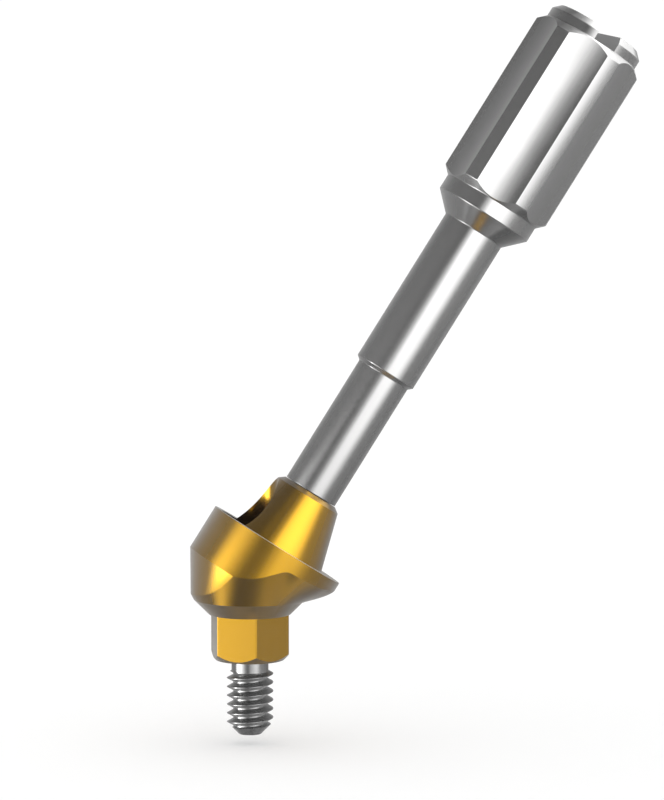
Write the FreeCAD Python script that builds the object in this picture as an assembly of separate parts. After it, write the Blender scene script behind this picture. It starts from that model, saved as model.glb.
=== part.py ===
"""Angled dental abutment with its clamping screw and the carrier it is handled by.

Frame, in millimetres: +Z runs up the implant axis, the origin is the centre of the hex at the seat
that stands on the implant, and the prosthetic side leans towards +X.
"""
import FreeCAD
import Part
import math
import os

V = FreeCAD.Vector
Z_AXIS = V(0, 0, 1)

# Fits: radial play of what turns or passes inside another piece, and play between seated faces.
RUNNING_CLEARANCE = 0.02
SEAT_GAP = 0.02

# How far a cutter reaches past the face it opens, and how far joined shapes run into each other.
CUT_PAST = 0.1
JOIN_DEPTH = 0.3

# The tilted axis crosses the implant axis at PIVOT_Z and leans towards +X.
TILT = 32.5
PIVOT_Z = 0.815
SHOULDER_AT = 1.71

# Implant connection.
HEX_ACROSS_FLATS = 2.38
HEX_LENGTH = 1.52
HEX_CORNER_R = 0.07
HEX_LEAD_R = 1.13
SEAT_R = 1.36
BEVEL_R = 1.855
BEVEL_TRIM = 0.11

# Cuff and its shoulder, and the conical post that stands on the shoulder.
SHOULDER_R = 2.40
CUFF_WALL = 1.57
POST_BASE_R = 1.70
POST_TOP_R = 1.15
POST_HEIGHT = 2.04
POST_CHAMFER_WIDTH = 0.185
POST_CHAMFER_HEIGHT = 0.14
CHANNEL_FLOOR = 0.42

# Flare of the emergence surface from the vertical, by azimuth from the leaning side.
FLARE = [(0, 78), (20, 74), (40, 60), (52, 48), (60, 40), (66, 33), (73, 28.4), (84, 27.4),
         (93, 26.9), (103, 25.6), (114, 22), (126, 18.8), (139, 17.5), (155, 19), (168, 24), (180, 28)]

# Under the flange the surface turns upwards: distance out along it, and how far it has turned.
# The turn fades out to nothing at FLANGE_SPREAD degrees from the leaning side.
FLANGE_TURN = [(0.0, 0.0), (0.58, 0.0), (0.85, 6.0), (1.05, 14.0), (1.17, 26.0), (1.28, 40.0)]
FLANGE_SPREAD = 69.2

# Clamping screw.
HEAD_R = 0.92
HEAD_HEIGHT = 1.61
HEAD_CHAMFER = 0.10
SOCKET_ACROSS_FLATS = 1.22
SOCKET_DEPTH = 0.95
NECK_R = 0.608
NECK_TAPER = 0.12
NECK_BELOW_HEX = 0.46
THREAD_R = 0.765
THREAD_LENGTH = 1.62
POINT_LENGTH = 0.40
POINT_R = 0.37

# Carrier, lengths in order from its foot on the post.
CARRIER_TIP_R = 0.61
CARRIER_TIP_LENGTH = 0.68
CARRIER_TIP_CHAMFER = 0.10
TIP_END_ROOM = 0.08
FOOT_R = 0.93
FOOT_LENGTH = 4.52
STEP_TAPER = 0.12
SHANK_R = 1.07
SHANK_LENGTH = 5.59
CONE_LENGTH = 0.615
COLLAR_R = 1.685
COLLAR_LENGTH = 0.51
KNOB_R = 1.94
KNOB_LENGTH = 6.17
KNOB_CHAMFER_LENGTH = 0.255
BOSS_LENGTH = 0.53
BOSS_CHAMFER = 0.225
FLUTE_COUNT = 6
FLUTE_DEPTH = 0.215
FLUTE_HALF_ANGLE = 22.4
FLUTE_TURN = 17.1
SLOT_WIDTH = 0.80
SLOT_DEPTH = 0.53
SLOT_TURN = 93.0

TILT_RAD = math.radians(TILT)
AXIS = V(math.sin(TILT_RAD), 0, math.cos(TILT_RAD))
PIVOT = V(0, 0, PIVOT_Z)


def tilted(shape, along):
    """Copy a shape made about +Z at the origin to a distance along the tilted axis."""
    moved = shape.copy()
    moved.rotate(V(0, 0, 0), V(0, 1, 0), TILT)
    moved.translate(PIVOT + AXIS * along)
    return moved


def revolve(profile):
    """Turn a closed (radius, height) outline about +Z into a solid."""
    points = [V(r, 0, z) for r, z in profile]
    face = Part.Face(Part.makePolygon(points + points[:1]))
    return face.revolve(V(0, 0, 0), Z_AXIS, 360)


def hexagon(across_flats, z, height, corner_r=0.0):
    """Upright hexagonal prism with a flat towards +X, its long edges rounded by corner_r."""
    corner = across_flats / 2 / math.cos(math.pi / 6)
    angles = [math.radians(30 + 60 * k) for k in range(6)]
    points = [V(corner * math.cos(a), corner * math.sin(a), z) for a in angles]
    prism = Part.Face(Part.makePolygon(points + points[:1])).extrude(V(0, 0, height))
    if corner_r:
        upright = [e for e in prism.Edges if abs(e.BoundBox.ZLength - height) < 1e-6]
        prism = prism.makeFillet(corner_r, upright)
    return prism


def interpolate(table, x):
    """Read a table of (x, value) pairs with straight lines between them."""
    for (x0, v0), (x1, v1) in zip(table, table[1:]):
        if x <= x1:
            return v0 + (v1 - v0) * (x - x0) / (x1 - x0)
    return table[-1][1]


def emergence_profile(azimuth, top):
    """Points (radius, height) of the emergence surface at one azimuth, from the bevel's edge to top."""
    folded = abs(azimuth)
    lean = max(0.0, math.cos(math.radians(azimuth)))
    flare = interpolate(FLARE, folded)
    turned = math.cos(math.pi / 2 * min(folded / FLANGE_SPREAD, 1.0)) ** 2

    # The bevel rises at 45 degrees from the seat, and is narrower under the flange.
    r = BEVEL_R - BEVEL_TRIM * lean ** 2
    z = r - SEAT_R
    points = [(r, z)]
    for (d0, _), (d1, turn) in zip(FLANGE_TURN, FLANGE_TURN[1:]):
        angle = math.radians(flare - turn * turned)
        r += (d1 - d0) * math.sin(angle)
        z += (d1 - d0) * math.cos(angle)
        points.append((r, z))
    points.append((r + (top - z) * math.tan(angle), top))
    return points


def ring_wire(azimuths, points):
    """Smooth closed wire through one (radius, height) point at each azimuth."""
    ring = []
    for azimuth, (r, z) in zip(azimuths, points):
        a = math.radians(azimuth)
        ring.append(V(r * math.cos(a), r * math.sin(a), z))
    curve = Part.BSplineCurve()
    parameters = [float(a) for a in azimuths] + [azimuths[0] + 360.0]
    curve.interpolate(Points=ring, PeriodicFlag=True, Parameters=parameters)
    return Part.Wire(curve.toShape())


def emergence_solid():
    """Bevel and emergence surface closed into one solid that reaches above the shoulder's rim."""
    rim_z = PIVOT_Z + SHOULDER_AT * math.cos(TILT_RAD) + SHOULDER_R * math.sin(TILT_RAD)
    azimuths = list(range(-180, 180, 10))
    profiles = [emergence_profile(a, rim_z + CUT_PAST) for a in azimuths]
    seat = ring_wire(azimuths, [(SEAT_R, 0.0)] * len(azimuths))
    rings = [ring_wire(azimuths, points) for points in zip(*profiles)]
    faces = Part.makeLoft([seat] + rings, False, True).Faces
    faces += [Part.Face(seat), Part.Face(rings[-1])]
    shell = Part.Shell(faces)
    shell.sewShape()
    solid = Part.Solid(shell)
    if solid.Volume < 0:
        solid.reverse()
    return solid


def make_cuff():
    """Cuff: the emergence surface cut to the tilted shoulder, its wall and an upright flank."""
    # A cone whose half-angle is the tilt has a side that runs parallel to the implant axis.
    cone_height = SHOULDER_R / math.tan(TILT_RAD)
    drum = revolve([(0, 0), (SHOULDER_R, 0), (SHOULDER_R, -CUFF_WALL), (0, -CUFF_WALL - cone_height)])
    return tilted(drum, SHOULDER_AT).common(emergence_solid())


def make_post():
    """Conical post with a chamfered top edge, rooted in the cuff."""
    post = revolve([(0, -JOIN_DEPTH), (POST_BASE_R, -JOIN_DEPTH), (POST_BASE_R, 0),
                    (POST_TOP_R, POST_HEIGHT - POST_CHAMFER_HEIGHT),
                    (POST_TOP_R - POST_CHAMFER_WIDTH, POST_HEIGHT), (0, POST_HEIGHT)])
    return tilted(post, SHOULDER_AT)


def make_hex():
    """Hex that enters the implant, its lower corners cut by a 45 degree lead."""
    prism = hexagon(HEX_ACROSS_FLATS, -HEX_LENGTH, HEX_LENGTH + JOIN_DEPTH, HEX_CORNER_R)
    lead = revolve([(0, -HEX_LENGTH), (HEX_LEAD_R, -HEX_LENGTH),
                    (HEX_LEAD_R + HEX_LENGTH + JOIN_DEPTH, JOIN_DEPTH), (0, JOIN_DEPTH)])
    return prism.common(lead)


def screw_channel():
    """What the screw passes through: the hole for its thread, its head's seat and the open channel."""
    hole_r = THREAD_R + RUNNING_CLEARANCE
    channel_r = HEAD_R + RUNNING_CLEARANCE
    open_z = PIVOT_Z + (SHOULDER_AT + POST_HEIGHT) * math.cos(TILT_RAD) + POST_BASE_R + CUT_PAST
    return revolve([(0, -HEX_LENGTH - CUT_PAST), (hole_r, -HEX_LENGTH - CUT_PAST), (hole_r, CHANNEL_FLOOR),
                    (channel_r, CHANNEL_FLOOR), (channel_r, open_z), (0, open_z)])


def tip_bore():
    """Bore down the post for the carrier's threaded tip."""
    bore_r = CARRIER_TIP_R + RUNNING_CLEARANCE
    bottom = POST_HEIGHT - CARRIER_TIP_LENGTH - TIP_END_ROOM
    top = POST_HEIGHT + CUT_PAST
    return tilted(revolve([(0, bottom), (bore_r, bottom), (bore_r, top), (0, top)]), SHOULDER_AT)


def make_body():
    """Hex connection, bevel, cuff, tilted shoulder and post, with the screw channel through it."""
    body = make_cuff().fuse(make_post()).fuse(make_hex())
    return body.cut(screw_channel()).cut(tip_bore()).removeSplitter()


def make_screw():
    """Clamping screw: socketed head in the channel, neck through the hex, threaded end."""
    seat = CHANNEL_FLOOR + SEAT_GAP
    head_top = seat + HEAD_HEIGHT
    thread_top = -HEX_LENGTH - NECK_BELOW_HEX
    thread_end = thread_top - THREAD_LENGTH
    point = thread_end - POINT_LENGTH
    turned = revolve([(0, point), (POINT_R, point), (THREAD_R, thread_end), (THREAD_R, thread_top),
                      (NECK_R, thread_top + NECK_TAPER), (NECK_R, seat), (HEAD_R, seat),
                      (HEAD_R, head_top - HEAD_CHAMFER), (HEAD_R - HEAD_CHAMFER, head_top), (0, head_top)])
    socket = hexagon(SOCKET_ACROSS_FLATS, head_top - SOCKET_DEPTH, SOCKET_DEPTH + CUT_PAST)
    return turned.cut(socket)


def flute_bar(z, length):
    """Round bar that cuts one flute: it passes through both edges and the deepest line of the flute."""
    half_chord = KNOB_R * math.sin(math.radians(FLUTE_HALF_ANGLE))
    edge_x = KNOB_R * math.cos(math.radians(FLUTE_HALF_ANGLE))
    deep_x = KNOB_R - FLUTE_DEPTH
    sag = edge_x - deep_x
    bar_r = (half_chord ** 2 + sag ** 2) / (2 * sag)
    return Part.makeCylinder(bar_r, length, V(deep_x + bar_r, 0, z), Z_AXIS)


def make_carrier():
    """Carrier: threaded tip, two-step shank, fluted knob and slotted boss, turned from one bar."""
    cone_at = FOOT_LENGTH + SHANK_LENGTH
    collar_at = cone_at + CONE_LENGTH
    knob_at = collar_at + COLLAR_LENGTH
    boss_at = knob_at + KNOB_LENGTH
    top = boss_at + BOSS_LENGTH
    turned = revolve([(0, -CARRIER_TIP_LENGTH), (CARRIER_TIP_R - CARRIER_TIP_CHAMFER, -CARRIER_TIP_LENGTH),
                      (CARRIER_TIP_R, -CARRIER_TIP_LENGTH + CARRIER_TIP_CHAMFER), (CARRIER_TIP_R, 0),
                      (FOOT_R, 0), (FOOT_R, FOOT_LENGTH), (SHANK_R, FOOT_LENGTH + STEP_TAPER),
                      (SHANK_R, cone_at), (COLLAR_R, collar_at), (COLLAR_R, knob_at),
                      (KNOB_R, knob_at + KNOB_CHAMFER_LENGTH), (KNOB_R, boss_at - KNOB_CHAMFER_LENGTH),
                      (COLLAR_R, boss_at), (COLLAR_R, top - BOSS_CHAMFER),
                      (COLLAR_R - BOSS_CHAMFER, top), (0, top)])

    bar = flute_bar(knob_at, KNOB_LENGTH)
    for k in range(FLUTE_COUNT):
        turned_bar = bar.copy()
        turned_bar.rotate(V(0, 0, 0), Z_AXIS, 360 / FLUTE_COUNT * k + FLUTE_TURN)
        turned = turned.cut(turned_bar)

    slot = Part.makeBox(2 * KNOB_R, SLOT_WIDTH, SLOT_DEPTH + CUT_PAST,
                        V(-KNOB_R, -SLOT_WIDTH / 2, top - SLOT_DEPTH))
    slot.rotate(V(0, 0, 0), Z_AXIS, SLOT_TURN)
    return tilted(turned.cut(slot), SHOULDER_AT + POST_HEIGHT + SEAT_GAP)


os.makedirs("parts", exist_ok=True)
NODES = {"abutment_body": make_body(), "abutment_screw": make_screw(), "carrier": make_carrier()}
for name, shape in NODES.items():
    print(name, "valid", shape.isValid(), "solids", len(shape.Solids), "volume mm3 %.4f" % shape.Volume, shape.BoundBox)
    shape.exportStep("parts/%s.step" % name)
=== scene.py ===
"""Angled dental abutment with its clamping screw and its carrier, dressed and lit for a studio render.

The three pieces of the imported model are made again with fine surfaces: the gold-coloured abutment with
its flowing emergence surface, the screw with a real helical thread, and the fluted carrier. Meshes are
built in millimetres in the row frame (+Z up the implant axis, +X the leaning side) and scaled once.
"""
import logging
import math
from dataclasses import dataclass
from enum import Enum

import bmesh
import bpy
from mathutils import Matrix, Vector


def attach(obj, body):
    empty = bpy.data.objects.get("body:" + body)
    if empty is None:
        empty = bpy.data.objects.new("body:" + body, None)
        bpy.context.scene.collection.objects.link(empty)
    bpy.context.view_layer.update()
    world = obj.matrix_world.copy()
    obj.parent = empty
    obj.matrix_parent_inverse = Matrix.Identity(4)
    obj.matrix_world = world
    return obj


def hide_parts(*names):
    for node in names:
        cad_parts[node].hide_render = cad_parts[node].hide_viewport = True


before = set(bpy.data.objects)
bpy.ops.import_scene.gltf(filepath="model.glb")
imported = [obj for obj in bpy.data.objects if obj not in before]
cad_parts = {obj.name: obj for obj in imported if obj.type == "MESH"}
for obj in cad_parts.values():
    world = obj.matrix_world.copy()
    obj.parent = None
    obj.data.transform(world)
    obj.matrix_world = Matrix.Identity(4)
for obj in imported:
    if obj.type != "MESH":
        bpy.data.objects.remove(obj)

LOG = logging.getLogger("abutment")
MM = 0.001
SHARP_ANGLE = math.radians(12)
WELD_MM = 1e-5
THREAD_WELD_MM = 1e-4
FINAL_WELD_MM = 2e-5
LEVEL_MM = 1e-4
FINE_TURN = 240
COARSE_TURN = 96
Point = tuple[float, float]


class Combine(Enum):
    """How two closed meshes are put together."""

    JOIN = "UNION"
    CUT = "DIFFERENCE"
    KEEP_COMMON = "INTERSECT"


def turned(profile: list[Point], segments: int) -> bmesh.types.BMesh:
    """Spin an open outline about +Z into a closed mesh.

    Args:
        profile: (radius, height) points that start and end on the axis.
        segments: Facets in a full turn.

    Returns:
        The closed mesh, its normals outwards.
    """
    bm = bmesh.new()
    verts = [bm.verts.new((r, 0.0, z)) for r, z in profile]
    edges = [bm.edges.new(pair) for pair in zip(verts, verts[1:])]
    bmesh.ops.spin(bm, geom=verts + edges, cent=(0, 0, 0), axis=(0, 0, 1), dvec=(0, 0, 0),
                   angle=2 * math.pi, steps=segments, use_merge=True, use_duplicate=False)
    bmesh.ops.remove_doubles(bm, verts=bm.verts, dist=WELD_MM)
    bmesh.ops.recalc_face_normals(bm, faces=bm.faces)
    return bm


def combined(base: bmesh.types.BMesh, tool: bmesh.types.BMesh, how: Combine) -> bmesh.types.BMesh:
    """Put two closed meshes together with the exact solver, and free them.

    Args:
        base: The mesh that is kept or cut.
        tool: The mesh that is joined to it, cuts it or bounds it.
        how: Join, cut or keep what they have in common.

    Returns:
        The mesh that results.
    """
    objects = []
    for name, bm in (("base", base), ("tool", tool)):
        mesh = bpy.data.meshes.new(name)
        bm.to_mesh(mesh)
        bm.free()
        obj = bpy.data.objects.new(name, mesh)
        bpy.context.scene.collection.objects.link(obj)
        objects.append(obj)
    modifier = objects[0].modifiers.new("combine", "BOOLEAN")
    modifier.operation = how.value
    modifier.solver = "EXACT"
    modifier.object = objects[1]
    result = bmesh.new()
    result.from_object(objects[0], bpy.context.evaluated_depsgraph_get())
    for obj in objects:
        mesh = obj.data
        bpy.data.objects.remove(obj)
        bpy.data.meshes.remove(mesh)
    return result


def moved(bm: bmesh.types.BMesh, matrix: Matrix) -> bmesh.types.BMesh:
    """Move a whole mesh by a matrix and return it."""
    bmesh.ops.transform(bm, matrix=matrix, verts=bm.verts)
    return bm


def hexagon(across_flats: float, low: float, high: float, corner_r: float = 0.0) -> bmesh.types.BMesh:
    """Make an upright hexagonal prism with a flat towards +X.

    Args:
        across_flats: Width over two opposite flats.
        low: Height of its lower face.
        high: Height of its upper face.
        corner_r: Radius of its long edges.

    Returns:
        The closed prism.
    """
    half_angle = math.pi / 6
    arc_steps = 8
    bm = bmesh.new()
    corner = across_flats / 2 / math.cos(half_angle)
    bmesh.ops.create_circle(bm, segments=6, radius=corner, cap_ends=True)
    first = next(iter(bm.verts)).co
    turn = half_angle - math.atan2(first.y, first.x)
    bmesh.ops.rotate(bm, verts=bm.verts, cent=(0, 0, 0), matrix=Matrix.Rotation(turn, 3, "Z"))
    bmesh.ops.translate(bm, verts=bm.verts, vec=(0, 0, low))
    extruded = bmesh.ops.extrude_face_region(bm, geom=bm.faces[:])
    raised = [item for item in extruded["geom"] if isinstance(item, bmesh.types.BMVert)]
    bmesh.ops.translate(bm, verts=raised, vec=(0, 0, high - low))
    if corner_r:
        upright = [e for e in bm.edges if abs(e.verts[0].co.z - e.verts[1].co.z) > LEVEL_MM]
        offset = corner_r * math.tan(half_angle)
        bmesh.ops.bevel(bm, geom=upright, offset=offset, offset_type="OFFSET", segments=arc_steps,
                        profile=0.5, affect="EDGES", material=-1)
    bmesh.ops.recalc_face_normals(bm, faces=bm.faces)
    return bm


def rounded(profile: list[Point], radius: float, steps: int = 3, beside: float = 1.4) -> list[Point]:
    """Break the corners of an open outline with small arcs.

    Args:
        profile: (radius, height) points.
        radius: How far from each corner its arc starts, less where the sides are short.
        steps: Chords in each arc.
        beside: Place of the points that keep an arc's bend out of the long faces' shading, in reaches
            of the arc from its corner.

    Returns:
        The outline with more points.
    """
    result = [profile[0]]
    for before, corner, after in zip(profile, profile[1:], profile[2:]):
        at = Vector(corner)
        back = Vector(before) - at
        ahead = Vector(after) - at
        reach = min(radius, back.length / 3, ahead.length / 3)
        start = at + back.normalized() * reach
        end = at + ahead.normalized() * reach
        guard = at + back.normalized() * reach * beside
        result.append((guard.x, guard.y))
        for k in range(steps + 1):
            t = k / steps
            point = start * (1 - t) ** 2 + at * 2 * t * (1 - t) + end * t ** 2
            result.append((point.x, point.y))
        guard = at + ahead.normalized() * reach * beside
        result.append((guard.x, guard.y))
    result.append(profile[-1])
    return result


@dataclass(frozen=True)
class TiltedAxis:
    """The axis of the post and the carrier, which leans towards +X."""

    tilt_deg: float = 32.5
    pivot_z: float = 0.815

    @property
    def tilt(self) -> float:
        """Tilt in radians."""
        return math.radians(self.tilt_deg)

    @property
    def direction(self) -> Vector:
        """Unit vector up the tilted axis."""
        return Vector((math.sin(self.tilt), 0.0, math.cos(self.tilt)))

    def matrix(self, along: float) -> Matrix:
        """Matrix that carries a shape made about +Z to a distance along the tilted axis."""
        place = Vector((0, 0, self.pivot_z)) + self.direction * along
        return Matrix.Translation(place) @ Matrix.Rotation(self.tilt, 4, "Y")


@dataclass(frozen=True)
class HelicalThread:
    """V thread: one pitch of its outline is swept along a right-handed helix and closed at both ends."""

    crest_r: float
    root_r: float
    pitch: float
    crest_at: float
    crest_flat: float = 0.06
    root_flat: float = 0.14
    spare_turns: int = 2
    segments: int = COARSE_TURN

    def mesh(self, low: float, high: float) -> bmesh.types.BMesh:
        """Make the thread between two heights.

        Args:
            low: Height of its lower cut face.
            high: Height of its upper cut face.

        Returns:
            A closed mesh with flat ends.
        """
        half_crest = self.crest_flat / 2
        half_root = self.root_flat / 2
        outline = [(self.root_r, -0.5), (self.root_r, -0.5 + half_root), (self.crest_r, -half_crest),
                   (self.crest_r, half_crest), (self.root_r, 0.5 - half_root), (self.root_r, 0.5)]
        turns_below = math.ceil((self.crest_at - low) / self.pitch) + self.spare_turns
        first = self.crest_at - self.pitch * turns_below
        turns = math.ceil((high - first) / self.pitch) + self.spare_turns
        bm = bmesh.new()
        verts = [bm.verts.new((r, 0.0, first + share * self.pitch)) for r, share in outline]
        edges = [bm.edges.new(pair) for pair in zip(verts, verts[1:])]
        bmesh.ops.spin(bm, geom=verts + edges, cent=(0, 0, 0), axis=(0, 0, 1),
                       dvec=(0, 0, self.pitch / self.segments), angle=2 * math.pi * turns,
                       steps=self.segments * turns, use_merge=False, use_duplicate=False)
        bmesh.ops.remove_doubles(bm, verts=bm.verts, dist=THREAD_WELD_MM)
        for height, outer in ((high, 1.0), (low, -1.0)):
            bmesh.ops.bisect_plane(bm, geom=bm.verts[:] + bm.edges[:] + bm.faces[:], dist=1e-6,
                                   plane_co=(0, 0, height), plane_no=(0, 0, outer), clear_outer=True)
            rim = [e for e in bm.edges if e.is_boundary and
                   all(abs(v.co.z - height) < LEVEL_MM for v in e.verts)]
            bmesh.ops.edgeloop_fill(bm, edges=rim)
        bmesh.ops.recalc_face_normals(bm, faces=bm.faces)
        return bm


@dataclass(frozen=True)
class MetalFinish:
    """Polished metal with the faint marks that turning and handling leave."""

    name: str
    colour: tuple[float, float, float]
    shade: tuple[float, float, float]
    roughness: float = 0.17
    roughness_spread: float = 0.02
    ring_pitch: float = 0.05
    ring_depth: float = 0.0004
    cloud_size: float = 1.2
    haze: float = 0.6
    haze_roughness: float = 0.5
    cloud_detail: float = 4.0
    cloud_range: tuple[float, float] = (0.3, 0.7)
    wave_share: float = 0.314
    ring_distortion: float = 1.5
    ring_detail: float = 2.0
    ring_strength: float = 0.25

    def build(self, tilt: float = 0.0) -> bpy.types.Material:
        """Make the node material.

        Args:
            tilt: How far the axis of the turning marks leans from +Z towards +X, in radians.

        Returns:
            The material, its patterns read in millimetres from Object coordinates.
        """
        material = bpy.data.materials.new(self.name)
        material.use_nodes = True
        nodes = material.node_tree.nodes
        links = material.node_tree.links
        shader = nodes["Principled BSDF"]
        shader.inputs["Metallic"].default_value = 1.0
        shader.inputs["Sheen Weight"].default_value = self.haze
        shader.inputs["Sheen Roughness"].default_value = self.haze_roughness

        coordinates = nodes.new("ShaderNodeTexCoord")
        mapping = nodes.new("ShaderNodeMapping")
        mapping.inputs["Scale"].default_value = (1 / MM, 1 / MM, 1 / MM)
        mapping.inputs["Rotation"].default_value = (0.0, -tilt, 0.0)
        links.new(coordinates.outputs["Object"], mapping.inputs["Vector"])

        clouds = nodes.new("ShaderNodeTexNoise")
        clouds.inputs["Scale"].default_value = 1 / self.cloud_size
        clouds.inputs["Detail"].default_value = self.cloud_detail
        links.new(mapping.outputs["Vector"], clouds.inputs["Vector"])

        tint = nodes.new("ShaderNodeMix")
        tint.data_type = "RGBA"
        tint.inputs["A"].default_value = (*self.colour, 1.0)
        tint.inputs["B"].default_value = (*self.shade, 1.0)
        links.new(clouds.outputs["Fac"], tint.inputs["Factor"])
        links.new(tint.outputs["Result"], shader.inputs["Base Color"])

        gloss = nodes.new("ShaderNodeMapRange")
        gloss.inputs["From Min"].default_value = self.cloud_range[0]
        gloss.inputs["From Max"].default_value = self.cloud_range[1]
        gloss.inputs["To Min"].default_value = self.roughness - self.roughness_spread
        gloss.inputs["To Max"].default_value = self.roughness + self.roughness_spread
        links.new(clouds.outputs["Fac"], gloss.inputs["Value"])
        links.new(gloss.outputs["Result"], shader.inputs["Roughness"])

        rings = nodes.new("ShaderNodeTexWave")
        rings.wave_type = "BANDS"
        rings.bands_direction = "Z"
        rings.inputs["Scale"].default_value = self.wave_share / self.ring_pitch
        rings.inputs["Distortion"].default_value = self.ring_distortion
        rings.inputs["Detail"].default_value = self.ring_detail
        links.new(mapping.outputs["Vector"], rings.inputs["Vector"])

        bump = nodes.new("ShaderNodeBump")
        bump.inputs["Strength"].default_value = self.ring_strength
        bump.inputs["Distance"].default_value = self.ring_depth * MM
        links.new(rings.outputs["Fac"], bump.inputs["Height"])
        links.new(bump.outputs["Normal"], shader.inputs["Normal"])
        return material


def finished(bm: bmesh.types.BMesh, name: str, body: str, node: str,
             material: bpy.types.Material) -> bpy.types.Object:
    """Turn a mesh made in millimetres into a finished piece that stands for a node.

    Args:
        bm: The closed mesh, which is freed.
        name: The piece's name.
        body: The body it rides on.
        node: The node it stands for.
        material: Its finish.

    Returns:
        The piece's object, at the origin.
    """
    bmesh.ops.remove_doubles(bm, verts=bm.verts, dist=FINAL_WELD_MM)
    bmesh.ops.dissolve_degenerate(bm, dist=WELD_MM, edges=bm.edges)
    bmesh.ops.scale(bm, vec=(MM, MM, MM), verts=bm.verts)
    for face in bm.faces:
        face.smooth = True
        face.material_index = 0
    for edge in bm.edges:
        edge.smooth = edge.is_manifold and edge.calc_face_angle(0.0) < SHARP_ANGLE
    open_edges = sum(1 for edge in bm.edges if not edge.is_manifold)
    mesh = bpy.data.meshes.new(name)
    bm.to_mesh(mesh)
    bm.free()
    mesh.materials.append(material)
    obj = bpy.data.objects.new(name, mesh)
    bpy.context.scene.collection.objects.link(obj)
    even = obj.modifiers.new("even_normals", "WEIGHTED_NORMAL")
    even.keep_sharp = True
    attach(obj, body)
    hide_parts(node)
    LOG.info("%s: %d faces, %d open edges", name, len(mesh.polygons), open_edges)
    return obj


@dataclass(frozen=True)
class ClampingScrew:
    """Screw on the implant axis: socketed head in the channel, neck, threaded end with a chamfered point."""

    seat_z: float = 0.44
    head_r: float = 0.92
    head_height: float = 1.61
    head_chamfer: float = 0.10
    socket_across_flats: float = 1.22
    socket_depth: float = 0.95
    neck_r: float = 0.608
    neck_taper: float = 0.12
    thread_top: float = -1.98
    thread_length: float = 1.62
    point_length: float = 0.40
    point_r: float = 0.37
    lead_in: float = 0.06
    lead_in_height: float = 0.05
    edge_break: float = 0.02
    cut_past: float = 0.1
    segments: int = 144
    thread: HelicalThread = HelicalThread(crest_r=0.765, root_r=0.555, pitch=0.292, crest_at=-2.275)

    def mesh(self) -> bmesh.types.BMesh:
        """Join the threaded end to the neck and head, and cut the socket."""
        crest_r = self.thread.crest_r
        thread_end = self.thread_top - self.thread_length
        point = thread_end - self.point_length
        taper_end = self.thread_top + self.neck_taper
        envelope = turned([(0, point), (self.point_r, point), (crest_r, thread_end),
                           (crest_r, self.thread_top), (self.thread.root_r, taper_end), (0, taper_end)],
                          self.segments)
        helix = self.thread.mesh(point - self.cut_past, self.thread_top + 2 * self.cut_past)
        threaded = combined(helix, envelope, Combine.KEEP_COMMON)

        head_top = self.seat_z + self.head_height
        outline = [(0, self.thread_top), (self.neck_r - self.lead_in, self.thread_top),
                   (self.neck_r, self.thread_top + self.lead_in_height), (self.neck_r, self.seat_z),
                   (self.head_r, self.seat_z), (self.head_r, head_top - self.head_chamfer),
                   (self.head_r - self.head_chamfer, head_top), (0, head_top)]
        upper = turned(rounded(outline, self.edge_break), self.segments)
        screw = combined(threaded, upper, Combine.JOIN)
        socket = hexagon(self.socket_across_flats, head_top - self.socket_depth, head_top + self.cut_past)
        return combined(screw, socket, Combine.CUT)


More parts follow.
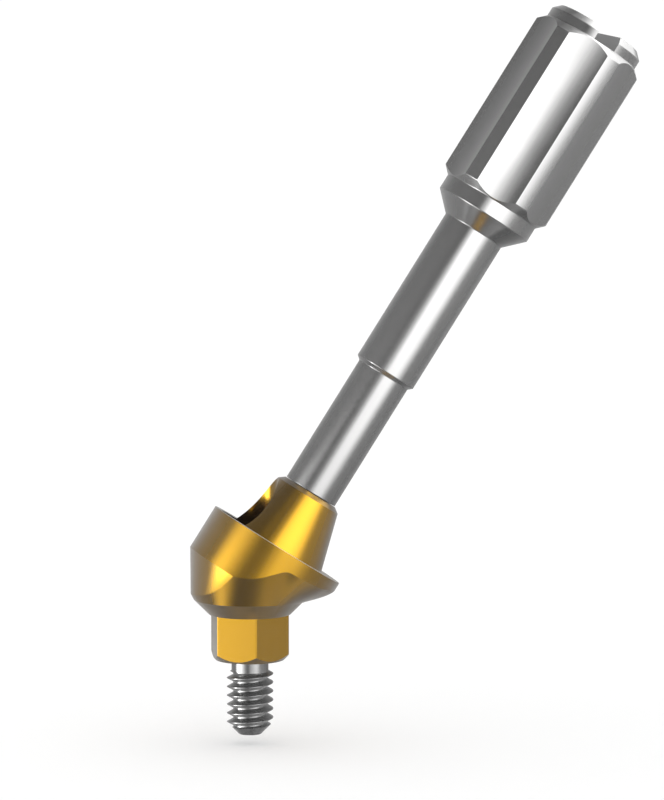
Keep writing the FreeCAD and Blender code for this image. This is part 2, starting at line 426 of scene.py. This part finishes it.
@dataclass(frozen=True)
class Carrier:
    """Handling piece on the tilted axis: threaded tip, two-step shank, fluted knob and slotted boss."""

    axis: TiltedAxis = TiltedAxis()
    foot_at: float = 3.77
    tip_r: float = 0.61
    tip_length: float = 0.68
    tip_lead: float = 0.10
    tip_overlap: float = 0.05
    tip_thread_depth: float = 0.13
    tip_pitch: float = 0.25
    foot_r: float = 0.93
    foot_length: float = 4.52
    step_taper: float = 0.12
    shank_r: float = 1.07
    shank_length: float = 5.59
    cone_length: float = 0.615
    collar_r: float = 1.685
    collar_length: float = 0.51
    knob_r: float = 1.94
    knob_length: float = 6.17
    knob_chamfer_length: float = 0.255
    boss_length: float = 0.53
    boss_chamfer: float = 0.225
    flute_count: int = 6
    flute_depth: float = 0.215
    flute_half_angle: float = 22.4
    flute_turn: float = 17.1
    slot_width: float = 0.80
    slot_depth: float = 0.53
    slot_turn: float = 93.0
    slot_reach: float = 2.2
    edge_break: float = 0.02
    cut_past: float = 0.1
    flute_segments: int = 400
    segments: int = FINE_TURN

    @property
    def cone_at(self) -> float:
        """Height of the cone under the collar, above the foot."""
        return self.foot_length + self.shank_length

    @property
    def knob_at(self) -> float:
        """Height where the knob starts, above the foot."""
        return self.cone_at + self.cone_length + self.collar_length

    @property
    def top(self) -> float:
        """Height of the boss's face above the foot."""
        return self.knob_at + self.knob_length + self.boss_length

    def blank(self) -> bmesh.types.BMesh:
        """Turn the bar before its flutes and slot are cut."""
        boss_at = self.knob_at + self.knob_length
        outline = [(0, 0), (self.foot_r, 0), (self.foot_r, self.foot_length),
                   (self.shank_r, self.foot_length + self.step_taper), (self.shank_r, self.cone_at),
                   (self.collar_r, self.cone_at + self.cone_length), (self.collar_r, self.knob_at),
                   (self.knob_r, self.knob_at + self.knob_chamfer_length),
                   (self.knob_r, boss_at - self.knob_chamfer_length), (self.collar_r, boss_at),
                   (self.collar_r, self.top - self.boss_chamfer),
                   (self.collar_r - self.boss_chamfer, self.top), (0, self.top)]
        return turned(rounded(outline, self.edge_break), self.segments)

    def flute_cutter(self) -> bmesh.types.BMesh:
        """Round bar that passes through both edges and the deepest line of the first flute."""
        half_chord = self.knob_r * math.sin(math.radians(self.flute_half_angle))
        deep_x = self.knob_r - self.flute_depth
        sag = self.knob_r * math.cos(math.radians(self.flute_half_angle)) - deep_x
        bar_r = (half_chord ** 2 + sag ** 2) / (2 * sag)
        bar = turned([(0, 0), (bar_r, 0), (bar_r, self.knob_length), (0, self.knob_length)],
                     self.flute_segments)
        return moved(bar, Matrix.Translation((deep_x + bar_r, 0, self.knob_at)))

    def slot_cutter(self) -> bmesh.types.BMesh:
        """Block that cuts the driver's slot across the boss."""
        block = bmesh.new()
        bmesh.ops.create_cube(block, size=1.0)
        height = self.slot_depth + self.cut_past
        size = (self.slot_reach * self.knob_r, self.slot_width, height)
        bmesh.ops.scale(block, vec=size, verts=block.verts)
        bmesh.ops.translate(block, vec=(0, 0, self.top - self.slot_depth + height / 2), verts=block.verts)
        return moved(block, Matrix.Rotation(math.radians(self.slot_turn), 4, "Z"))

    def tip(self) -> bmesh.types.BMesh:
        """Threaded tip that screws into the post."""
        thread = HelicalThread(crest_r=self.tip_r, root_r=self.tip_r - self.tip_thread_depth,
                               pitch=self.tip_pitch, crest_at=0.0)
        low = -self.tip_length
        envelope = turned([(0, low), (self.tip_r - self.tip_lead, low), (self.tip_r, low + self.tip_lead),
                           (self.tip_r, self.tip_overlap), (0, self.tip_overlap)], COARSE_TURN)
        return combined(thread.mesh(low - self.cut_past, self.cut_past), envelope, Combine.KEEP_COMMON)

    def mesh(self) -> bmesh.types.BMesh:
        """Cut the flutes and the slot, add the tip and set the carrier on its axis."""
        bar = self.blank()
        for k in range(self.flute_count):
            angle = 2 * math.pi * k / self.flute_count + math.radians(self.flute_turn)
            bar = combined(bar, moved(self.flute_cutter(), Matrix.Rotation(angle, 4, "Z")), Combine.CUT)
        bar = combined(bar, self.slot_cutter(), Combine.CUT)
        bar = combined(bar, self.tip(), Combine.JOIN)
        return moved(bar, self.axis.matrix(self.foot_at))


@dataclass(frozen=True)
class Abutment:
    """Gold-coloured body: hex, bevel, flowing cuff with its flange, shoulder and post, all one piece."""

    axis: TiltedAxis = TiltedAxis()
    shoulder_at: float = 1.71
    hex_across_flats: float = 2.38
    hex_length: float = 1.52
    hex_corner_r: float = 0.04
    hex_lead_r: float = 1.13
    hex_lead_crown: float = 0.01
    seat_r: float = 1.36
    bevel_r: float = 1.855
    bevel_trim: float = 0.11
    shoulder_r: float = 2.40
    cuff_wall: float = 1.57
    post_base_r: float = 1.70
    post_top_r: float = 1.15
    post_height: float = 2.04
    post_chamfer_width: float = 0.185
    post_chamfer_height: float = 0.14
    channel_floor: float = 0.42
    channel_r: float = 0.94
    screw_hole_r: float = 0.785
    tip_bore_r: float = 0.63
    tip_bore_depth: float = 0.76
    join_depth: float = 0.3
    cut_past: float = 0.1
    channel_reach: float = 2.5
    profile_spacing: int = 10
    segments: int = FINE_TURN
    flare: tuple[Point, ...] = (
        (0, 78), (20, 74), (40, 60), (52, 48), (60, 40), (66, 33), (73, 28.4), (84, 27.4),
        (93, 26.9), (103, 25.6), (114, 22), (126, 18.8), (139, 17.5), (155, 19), (168, 24), (180, 28))
    flange_turn: tuple[Point, ...] = (
        (0.0, 0.0), (0.40, 0.0), (0.715, 6.0), (0.95, 14.0), (1.11, 26.0), (1.225, 40.0), (1.28, 40.0))
    flange_spread: float = 69.2
    flange_steps: int = 32

    @property
    def rim_z(self) -> float:
        """Height of the shoulder's highest point."""
        tilt = self.axis.tilt
        return self.axis.pivot_z + self.shoulder_at * math.cos(tilt) + self.shoulder_r * math.sin(tilt)

    @staticmethod
    def read(table: tuple[Point, ...], x: float) -> float:
        """Read a table of (x, value) pairs with straight lines between them."""
        for (x0, v0), (x1, v1) in zip(table, table[1:]):
            if x <= x1:
                return v0 + (v1 - v0) * (x - x0) / (x1 - x0)
        return table[-1][1]

    def emergence_profile(self, azimuth: float) -> list[Point]:
        """Points (radius, height) of the emergence surface at one azimuth, up from the bevel's edge.

        Args:
            azimuth: Degrees from the leaning side, from 0 to 360.

        Returns:
            As many points at every azimuth.
        """
        folded = min(azimuth % 360, 360 - azimuth % 360)
        lean = max(0.0, math.cos(math.radians(azimuth)))
        flare = self.read(self.flare, folded)
        turned_up = math.cos(math.pi / 2 * min(folded / self.flange_spread, 1.0)) ** 2
        r = self.bevel_r - self.bevel_trim * lean ** 2
        z = r - self.seat_r
        points = [(r, z)]
        step = self.flange_turn[-1][0] / self.flange_steps
        angle = 0.0
        for k in range(self.flange_steps):
            turn = self.read(self.flange_turn, (k + 0.5) * step)
            angle = math.radians(flare - turn * turned_up)
            r += step * math.sin(angle)
            z += step * math.cos(angle)
            points.append((r, z))
        top = self.rim_z + self.cut_past
        points.append((r + (top - z) * math.tan(angle), top))
        return points

    def emergence_rings(self) -> list[list[Point]]:
        """Rings of (radius, height), one point for each segment, smoothed between spaced profiles."""
        profiles = [self.emergence_profile(azimuth) for azimuth in range(0, 360, self.profile_spacing)]
        count = len(profiles)
        columns = []
        for k in range(self.segments):
            at = 360 / self.segments * k / self.profile_spacing
            index = int(at)
            t = at - index
            weights = ((-t + 2 * t ** 2 - t ** 3) / 2, (2 - 5 * t ** 2 + 3 * t ** 3) / 2,
                       (t + 4 * t ** 2 - 3 * t ** 3) / 2, (t ** 3 - t ** 2) / 2)
            near = [profiles[(index + shift) % count] for shift in (-1, 0, 1, 2)]
            column = []
            for points in zip(*near):
                r = sum(w * p[0] for w, p in zip(weights, points))
                z = sum(w * p[1] for w, p in zip(weights, points))
                column.append((r, z))
            columns.append(column)
        seat = [(self.seat_r, 0.0)] * self.segments
        return [seat] + [list(ring) for ring in zip(*columns)]

    def emergence(self) -> bmesh.types.BMesh:
        """Bridge the rings of the emergence surface and close it above the shoulder and at the seat."""
        bm = bmesh.new()
        loops = []
        for ring in self.emergence_rings():
            made = bmesh.ops.create_circle(bm, segments=self.segments, radius=1.0, cap_ends=False)
            for vert in made["verts"]:
                angle = math.atan2(vert.co.y, vert.co.x) % (2 * math.pi)
                r, z = ring[round(angle / (2 * math.pi) * self.segments) % self.segments]
                vert.co = (r * math.cos(angle), r * math.sin(angle), z)
            loops.append(list({e for v in made["verts"] for e in v.link_edges}))
        for lower, upper in zip(loops, loops[1:]):
            bmesh.ops.bridge_loops(bm, edges=lower + upper)
        for end in (loops[0], loops[-1]):
            bmesh.ops.edgeloop_fill(bm, edges=end)
        bmesh.ops.recalc_face_normals(bm, faces=bm.faces)
        return bm

    def cuff(self) -> bmesh.types.BMesh:
        """Emergence surface cut to the tilted shoulder, its wall and the upright flank below it."""
        cone_height = self.shoulder_r / math.tan(self.axis.tilt)
        drum = turned([(0, -self.cuff_wall - cone_height), (self.shoulder_r, -self.cuff_wall),
                       (self.shoulder_r, 0), (0, 0)], self.segments)
        drum = moved(drum, self.axis.matrix(self.shoulder_at))
        return combined(self.emergence(), drum, Combine.KEEP_COMMON)

    def post(self) -> bmesh.types.BMesh:
        """Conical post with a chamfered top edge, rooted in the cuff."""
        edge = self.post_height - self.post_chamfer_height
        post = turned([(0, -self.join_depth), (self.post_base_r, -self.join_depth), (self.post_base_r, 0),
                       (self.post_top_r, edge), (self.post_top_r - self.post_chamfer_width, self.post_height),
                       (0, self.post_height)], self.segments)
        return moved(post, self.axis.matrix(self.shoulder_at))

    def hex_connection(self) -> bmesh.types.BMesh:
        """Hex that enters the implant, its lower corners cut by a 45 degree lead."""
        prism = hexagon(self.hex_across_flats, -self.hex_length, self.join_depth, self.hex_corner_r)
        lead = turned([(0, -self.hex_length), (self.hex_lead_r, -self.hex_length),
                       (self.hex_lead_r + self.hex_length + self.join_depth, self.join_depth),
                       (0, self.join_depth + self.hex_lead_crown)], self.segments)
        return combined(prism, lead, Combine.KEEP_COMMON)

    def channel(self) -> bmesh.types.BMesh:
        """What the screw passes through: its hole, its head's seat and the open channel above."""
        low = -self.hex_length - self.cut_past
        high = self.channel_reach * self.rim_z
        outline = [(0, low), (self.screw_hole_r, low), (self.screw_hole_r, self.channel_floor),
                   (self.channel_r, self.channel_floor), (self.channel_r, high), (0, high)]
        return turned(outline, self.segments)

    def tip_bore(self) -> bmesh.types.BMesh:
        """Bore down the post for the carrier's tip."""
        bottom = self.post_height - self.tip_bore_depth
        top = self.post_height + self.cut_past
        bore = turned([(0, bottom), (self.tip_bore_r, bottom), (self.tip_bore_r, top), (0, top)],
                      COARSE_TURN)
        return moved(bore, self.axis.matrix(self.shoulder_at))

    def mesh(self) -> bmesh.types.BMesh:
        """Join cuff, post and hex, and cut the channel and the bore."""
        body = combined(self.cuff(), self.post(), Combine.JOIN)
        body = combined(body, self.hex_connection(), Combine.JOIN)
        body = combined(body, self.channel(), Combine.CUT)
        return combined(body, self.tip_bore(), Combine.CUT)


@dataclass(frozen=True)
class PhotoCamera:
    """Long lens a little above the object, as in the photograph of 664 by 800 pixels."""

    lens_mm: float = 218.0
    sensor_mm: float = 36.0
    width_px: int = 664
    height_px: int = 800
    down_deg: float = 6.0
    turn_deg: float = 9.83
    origin_x_px: float = 249.9
    origin_y_px: float = 613.3
    px_per_mm: float = 30.4

    def axes(self) -> tuple[Vector, Vector, Vector]:
        """Unit vectors to the camera's right, up and forward."""
        turn = math.radians(self.turn_deg)
        down = math.radians(self.down_deg)
        right = Vector((math.cos(turn), -math.sin(turn), 0.0))
        level = Vector((math.sin(turn), math.cos(turn), 0.0))
        forward = level * math.cos(down) - Vector((0, 0, 1)) * math.sin(down)
        return right, right.cross(forward), forward

    def build(self) -> bpy.types.Object:
        """Make the camera and return it."""
        right, up, forward = self.axes()
        focal_px = self.lens_mm / self.sensor_mm * self.height_px
        depth = focal_px / self.px_per_mm
        aside = (self.origin_x_px - self.width_px / 2) * depth / focal_px
        above = (self.height_px / 2 - self.origin_y_px) * depth / focal_px
        place = -(forward * depth + right * aside + up * above) * MM
        data = bpy.data.cameras.new("photo_camera")
        data.lens = self.lens_mm
        data.sensor_width = self.sensor_mm
        data.clip_start = 0.01
        data.clip_end = 10.0
        camera = bpy.data.objects.new("photo_camera", data)
        camera.matrix_world = Matrix.Translation(place) @ Matrix((right, up, -forward)).transposed().to_4x4()
        bpy.context.scene.collection.objects.link(camera)
        bpy.context.scene.camera = camera
        return camera


@dataclass(frozen=True)
class StudioCard:
    """Soft-edged card bent round the object: the metal mirrors it, matt surfaces get only the plain light.

    Directions are seen from the object: azimuth 0 is towards the camera and grows to the image's right.
    """

    name: str
    azimuths: tuple[float, float]
    elevations: tuple[float, float]
    side_fades: tuple[float, float]
    end_fades: tuple[float, float]
    level: float
    distance_mm: float
    grid: tuple[int, int] = (24, 12)

    def build(self, camera: PhotoCamera, plain: float) -> bpy.types.Object:
        """Make the card, which camera rays and shadow rays pass through.

        Args:
            camera: The camera that azimuth 0 points at.
            plain: Strength of its light on matt surfaces.

        Returns:
            The card's object.
        """
        right, _, forward = camera.axes()
        towards = Vector((-forward.x, -forward.y, 0.0)).normalized()
        bm = bmesh.new()
        bm.loops.layers.uv.new("card")
        bmesh.ops.create_grid(bm, x_segments=self.grid[0], y_segments=self.grid[1], size=0.5, calc_uvs=True)
        for vert in bm.verts:
            across, up = vert.co.x + 0.5, vert.co.y + 0.5
            azimuth = math.radians(self.azimuths[0] * (1 - across) + self.azimuths[1] * across)
            elevation = math.radians(self.elevations[0] * (1 - up) + self.elevations[1] * up)
            level = towards * math.cos(azimuth) + right * math.sin(azimuth)
            direction = level * math.cos(elevation) + Vector((0, 0, 1)) * math.sin(elevation)
            vert.co = direction * self.distance_mm * MM
        mesh = bpy.data.meshes.new(self.name)
        bm.to_mesh(mesh)
        bm.free()
        mesh.materials.append(self.glow(plain))
        card = bpy.data.objects.new(self.name, mesh)
        bpy.context.scene.collection.objects.link(card)
        card.visible_camera = False
        card.visible_shadow = False
        return card

    def glow(self, plain: float) -> bpy.types.Material:
        """Make the light of the card, which fades to nothing at its edges."""
        material = bpy.data.materials.new(self.name)
        material.use_nodes = True
        material.cycles.emission_sampling = "NONE"
        nodes = material.node_tree.nodes
        links = material.node_tree.links
        nodes.clear()
        sheet = nodes.new("ShaderNodeUVMap")
        sheet.uv_map = "card"
        split = nodes.new("ShaderNodeSeparateXYZ")
        links.new(sheet.outputs["UV"], split.inputs["Vector"])
        solid = None
        for axis, (first, last), fades in (("X", self.azimuths, self.side_fades),
                                           ("Y", self.elevations, self.end_fades)):
            shares = [fade / (last - first) for fade in fades]
            for edge, full in ((0.0, shares[0]), (1.0, 1.0 - shares[1])):
                fade = nodes.new("ShaderNodeMapRange")
                fade.interpolation_type = "SMOOTHSTEP"
                fade.inputs["From Min"].default_value = edge
                fade.inputs["From Max"].default_value = full
                links.new(split.outputs[axis], fade.inputs["Value"])
                if solid is None:
                    solid = fade.outputs["Result"]
                    continue
                both = nodes.new("ShaderNodeMath")
                both.operation = "MULTIPLY"
                links.new(solid, both.inputs[0])
                links.new(fade.outputs["Result"], both.inputs[1])
                solid = both.outputs["Value"]
        path = nodes.new("ShaderNodeLightPath")
        straight = nodes.new("ShaderNodeMath")
        straight.operation = "LESS_THAN"
        straight.inputs[1].default_value = 0.5
        links.new(path.outputs["Diffuse Depth"], straight.inputs[0])
        mirrored = nodes.new("ShaderNodeMath")
        mirrored.operation = "MULTIPLY"
        links.new(path.outputs["Is Glossy Ray"], mirrored.inputs[0])
        links.new(straight.outputs["Value"], mirrored.inputs[1])
        strength = nodes.new("ShaderNodeMapRange")
        strength.inputs["To Min"].default_value = plain
        strength.inputs["To Max"].default_value = self.level
        links.new(mirrored.outputs["Value"], strength.inputs["Value"])
        light = nodes.new("ShaderNodeEmission")
        links.new(strength.outputs["Result"], light.inputs["Strength"])
        clear = nodes.new("ShaderNodeBsdfTransparent")
        mix = nodes.new("ShaderNodeMixShader")
        links.new(solid, mix.inputs[0])
        links.new(clear.outputs[0], mix.inputs[1])
        links.new(light.outputs[0], mix.inputs[2])
        out = nodes.new("ShaderNodeOutputMaterial")
        links.new(mix.outputs[0], out.inputs["Surface"])
        return material


@dataclass(frozen=True)
class Studio:
    """White surroundings, a white floor just under the screw's point, and the cards that shape the gloss."""

    floor_z_mm: float = -4.34
    floor_size_mm: float = 6000.0
    floor_white: float = 0.86
    floor_fill: float = 0.17
    plain: float = 1.0
    cards: tuple[StudioCard, ...] = (
        StudioCard("left_card", (-98, -67), (-29, 13), (38, 3), (15, 11), 24.0, 32.0),
        StudioCard("left_glow", (-87, -16), (-50, 42), (32, 105), (28, 18), 15.2, 33.0),
        StudioCard("key_card", (-21, 71), (-30, 41), (114, 38), (33, 9), 7.7, 36.0),
        StudioCard("back_card", (37, 137), (8, 68), (10, 12), (98, 11), 13.0, 40.0),
        StudioCard("front_glow", (4, 81), (-14, 60), (13, 25), (52, 54), 7.4, 50.0),
        StudioCard("front_flag", (-82, -1), (-32, 85), (128, 1), (27, 45), 0.06, 60.0),
        StudioCard("low_flag", (-165, 52), (-95, -13), (2, 54), (45, 28), 0.22, 95.0),
        StudioCard("upper_flag", (-196, -6), (21, 89), (14, 34), (55, 8), 0.05, 100.0),
        StudioCard("right_flag", (6, 200), (-64, -12), (13, 20), (36, 44), 0.20, 115.0),
        StudioCard("rear_flag", (60, 337), (-89, 70), (114, 199), (8, 2), 0.08, 120.0),
    )

    def build(self, camera: PhotoCamera) -> None:
        """Set the world, the floor and the cards round the object."""
        self.world()
        self.floor()
        for card in self.cards:
            card.build(camera, self.plain)
        LOG.info("studio: floor and %d cards", len(self.cards))

    def world(self) -> None:
        """White background for what the camera and gloss see, and the plain level for the rest."""
        made = bpy.data.worlds.new("studio")
        made.use_nodes = True
        bpy.context.scene.world = made
        nodes = made.node_tree.nodes
        links = made.node_tree.links
        background = nodes["Background"]
        background.inputs["Color"].default_value = (1.0, 1.0, 1.0, 1.0)
        path = nodes.new("ShaderNodeLightPath")
        seen = None
        for ray in ("Is Camera Ray", "Is Glossy Ray", "Is Transmission Ray"):
            if seen is None:
                seen = path.outputs[ray]
                continue
            either = nodes.new("ShaderNodeMath")
            either.operation = "MAXIMUM"
            links.new(seen, either.inputs[0])
            links.new(path.outputs[ray], either.inputs[1])
            seen = either.outputs["Value"]
        level = nodes.new("ShaderNodeMapRange")
        level.inputs["To Min"].default_value = self.plain
        level.inputs["To Max"].default_value = 1.0
        links.new(seen, level.inputs["Value"])
        links.new(level.outputs["Result"], background.inputs["Strength"])

    def floor(self) -> bpy.types.Object:
        """Make the white floor, part of its white for the camera alone; gloss looks past it."""
        bm = bmesh.new()
        bmesh.ops.create_grid(bm, x_segments=1, y_segments=1, size=self.floor_size_mm / 2 * MM)
        bmesh.ops.translate(bm, verts=bm.verts, vec=(0, 0, self.floor_z_mm * MM))
        mesh = bpy.data.meshes.new("floor")
        bm.to_mesh(mesh)
        bm.free()
        material = bpy.data.materials.new("white_floor")
        material.use_nodes = True
        shader = material.node_tree.nodes["Principled BSDF"]
        shader.inputs["Base Color"].default_value = (*(self.floor_white,) * 3, 1.0)
        shader.inputs["Roughness"].default_value = 1.0
        shader.inputs["Specular IOR Level"].default_value = 0.0
        shader.inputs["Emission Color"].default_value = (1.0, 1.0, 1.0, 1.0)
        path = material.node_tree.nodes.new("ShaderNodeLightPath")
        fill = material.node_tree.nodes.new("ShaderNodeMath")
        fill.operation = "MULTIPLY"
        fill.inputs[1].default_value = self.floor_fill
        material.node_tree.links.new(path.outputs["Is Camera Ray"], fill.inputs[0])
        material.node_tree.links.new(fill.outputs["Value"], shader.inputs["Emission Strength"])
        mesh.materials.append(material)
        floor = bpy.data.objects.new("floor", mesh)
        bpy.context.scene.collection.objects.link(floor)
        floor.visible_glossy = False
        return floor


def main() -> None:
    """Build the pieces, the camera and the studio."""
    logging.basicConfig(level=logging.INFO, format="%(name)s: %(message)s")
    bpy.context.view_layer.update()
    camera = PhotoCamera()
    camera.build()

    gold = MetalFinish("gold_titanium", colour=(0.277, 0.154, 0.012), shade=(0.263, 0.146, 0.012))
    steel = MetalFinish("bright_titanium", colour=(0.222, 0.221, 0.220), shade=(0.212, 0.211, 0.210))

    axis = TiltedAxis()
    finished(Abutment().mesh(), "abutment", "abutment", "abutment_body",
             gold.build(axis.tilt))
    finished(ClampingScrew().mesh(), "clamping_screw", "clamping_screw", "abutment_screw",
             steel.build())
    finished(Carrier().mesh(), "fluted_carrier", "carrier", "carrier",
             steel.build(axis.tilt))
    Studio().build(camera)
    bpy.context.scene.view_settings.view_transform = "Standard"


if __name__ == "__main__":
    main()
